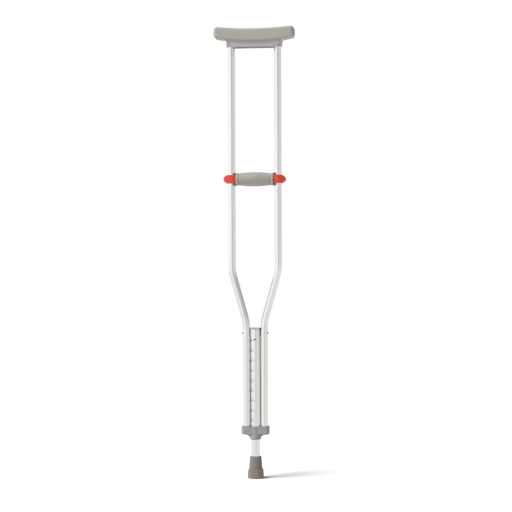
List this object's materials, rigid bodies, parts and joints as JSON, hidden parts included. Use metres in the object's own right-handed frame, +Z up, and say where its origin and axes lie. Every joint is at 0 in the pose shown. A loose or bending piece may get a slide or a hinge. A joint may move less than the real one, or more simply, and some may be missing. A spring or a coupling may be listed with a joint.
{
  "type": "underarm crutch",
  "caption": "Height-adjustable underarm crutch with joggled aluminium tubes, a telescoping leg with a snap button, a sliding foam handgrip, an underarm pad and a rubber tip.",
  "frame": {"origin": "centre of the rubber tip's base, on the floor, with the crutch upright", "axes": "+Z up along the leg, X across the two bows (+X to the right seen from the front), the front with the snap button is -Y"},
  "size_m": [0.206, 0.044, 1.1497],
  "materials": {
    "pad_foam": "matte closed-cell foam with a moulded skin",
    "grip_foam": "matte foam",
    "tip_rubber": "matte moulded rubber",
    "grey_plastic": "satin moulded plastic",
    "lower_plastic": "satin moulded plastic",
    "cap_plastic": "satin moulded plastic",
    "collar_plastic": "satin moulded plastic",
    "saddle_plastic": "satin moulded plastic",
    "board_plastic": "matte plastic",
    "red_plastic": "satin moulded plastic",
    "aluminium_tube": "satin anodised",
    "rivet_steel": "satin",
    "steel": "satin"
  },
  "bodies": {
    "frame": {"underarm_pad": "pad_foam", "pad_board": "board_plastic", "pad_screws": "steel", "underarm_bracket": "grey_plastic", "socket_rivets": "steel", "left_bow": "aluminium_tube", "right_bow": "aluminium_tube", "centre_tube": "aluminium_tube", "centre_cap": "cap_plastic", "cross_rivet": "rivet_steel", "lower_bracket": "lower_plastic", "lower_rivets": "rivet_steel"},
    "leg": {"leg_tube": "aluminium_tube", "tip": "tip_rubber", "tip_washer": "steel", "button_spring": "steel"},
    "button": {"snap_button": "steel"},
    "handgrip": {"grip_foam": "grip_foam", "grip_core": "board_plastic", "grip_rod": "steel", "left_collar": "collar_plastic", "right_collar": "collar_plastic", "left_saddle": "saddle_plastic", "right_saddle": "saddle_plastic", "saddle_screws": "steel"},
    "left_clip": {"left_clip": "red_plastic"},
    "right_clip": {"right_clip": "red_plastic"}
  },
  "joints": [
    {"name": "leg_slide", "type": "slide", "parent": "frame", "child": "leg", "axis": [0, 0, -1], "range_m": [0, 0.2032], "deforming": ["snap_button"]},
    {"name": "button_press", "type": "slide", "parent": "leg", "child": "button", "axis": [0, 1, 0], "range_m": [0, 0.0052], "stiffness_N_per_m": 2500, "springref_m": -0.001, "deforming": ["button_spring"]},
    {"name": "grip_slide", "type": "slide", "parent": "frame", "child": "handgrip", "axis": [0, 0, -1], "range_m": [0, 0.1524]},
    {"name": "left_clip_pull", "type": "slide", "parent": "handgrip", "child": "left_clip", "axis": [-1, 0, 0], "range_m": [0, 0.005]},
    {"name": "right_clip_pull", "type": "slide", "parent": "handgrip", "child": "right_clip", "axis": [1, 0, 0], "range_m": [0, 0.005]}
  ]
}
